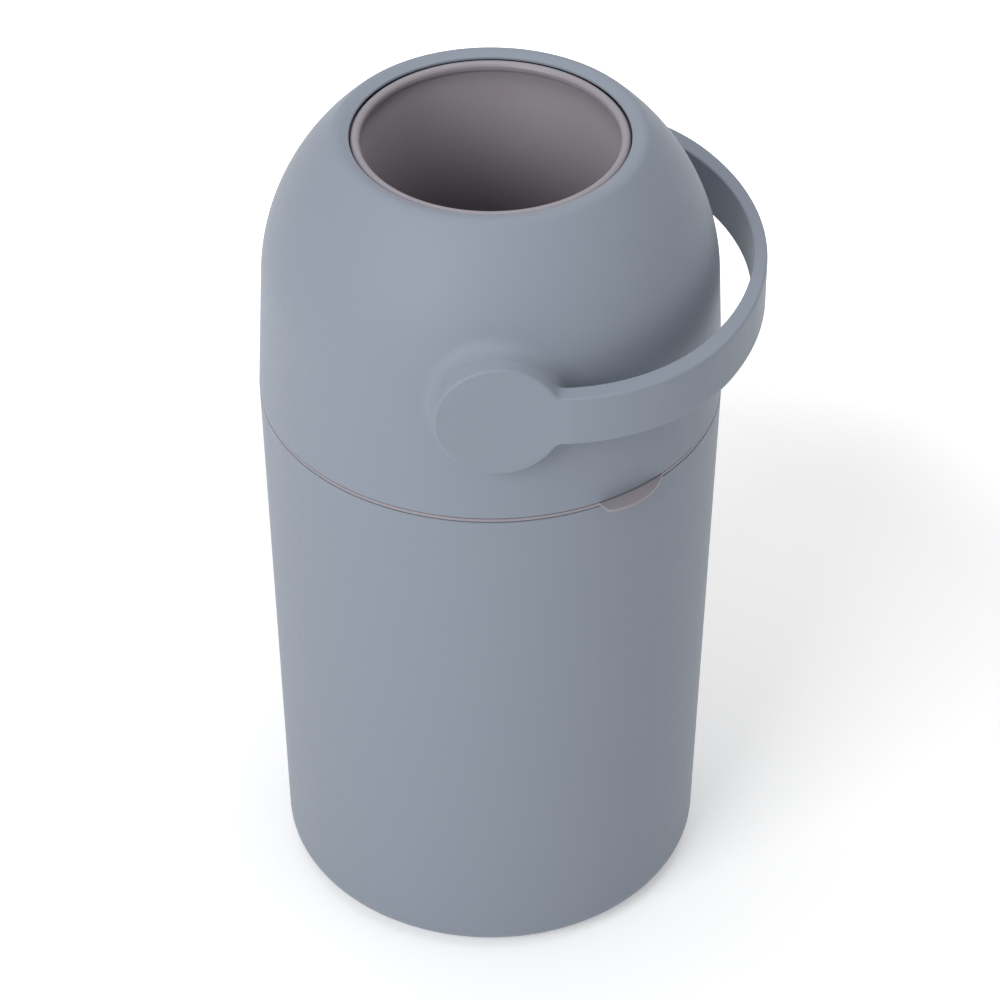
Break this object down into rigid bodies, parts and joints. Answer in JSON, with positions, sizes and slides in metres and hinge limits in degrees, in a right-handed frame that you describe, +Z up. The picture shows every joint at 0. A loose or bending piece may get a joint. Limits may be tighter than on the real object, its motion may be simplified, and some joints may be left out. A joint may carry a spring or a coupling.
{
  "type": "nappy bin",
  "caption": "Free-standing nappy bin: tapered bucket, hinged domed head, and a ball drum with a loose piston that the bail handle turns half a turn.",
  "frame": {"origin": "centre of the foot ring's face, on the floor", "axes": "+Z up; the drum turns about the Y direction, -Y is the front hub; +X is where the handle lies at rest"},
  "size_m": [0.2819, 0.2842, 0.4962],
  "materials": {
    "body_shell": "soft-touch moulded plastic, blue-grey",
    "mauve_plastic": "satin moulded plastic, mauve-grey",
    "dark_rubber": "soft rubber, dark grey",
    "pale_plastic": "natural bearing plastic, off-white",
    "bare_steel": "plain zinc-plated steel"
  },
  "bodies": {
    "base": {"bucket": "body_shell", "foot_ring": "dark_rubber", "bag_ring": "mauve_plastic", "hinge_bracket": "mauve_plastic", "hinge_pin": "bare_steel", "hinge_screws": "bare_steel"},
    "head": {"dome": "body_shell", "seam_ring": "mauve_plastic", "chassis_screws": "bare_steel", "mouth_gasket": "dark_rubber", "throat_gasket": "dark_rubber", "bush_front": "pale_plastic", "bush_rear": "pale_plastic", "stop_plate_front": "pale_plastic", "stop_plate_rear": "pale_plastic", "stop_plate_screws": "bare_steel"},
    "drum": {"drum_shell_front": "mauve_plastic", "drum_shell_rear": "mauve_plastic", "drum_tube": "mauve_plastic", "rim_upper": "mauve_plastic", "rim_lower": "mauve_plastic", "drum_screws": "bare_steel", "axle_front": "pale_plastic", "axle_rear": "pale_plastic", "axle_screws": "bare_steel", "hub_screws": "bare_steel", "handle": "body_shell"},
    "piston": {"piston_lower": "mauve_plastic", "piston_upper": "mauve_plastic", "piston_weight": "bare_steel", "piston_wiper": "dark_rubber", "piston_screws": "bare_steel"}
  },
  "joints": [
    {"name": "head_hinge", "type": "hinge", "parent": "base", "child": "head", "pos_m": [-0.07737, 0.1105, 0.3305], "axis": [-0.8192, -0.5736, 0], "range_deg": [0, 95]},
    {"name": "handle_flip", "type": "hinge", "parent": "head", "child": "drum", "pos_m": [0, 0, 0.4071], "axis": [0, -1, 0], "range_deg": [0, 180]},
    {"name": "piston_slide", "type": "slide", "parent": "drum", "child": "piston", "axis": [0, 0, 1], "range_m": [0, 0.1404]}
  ]
}
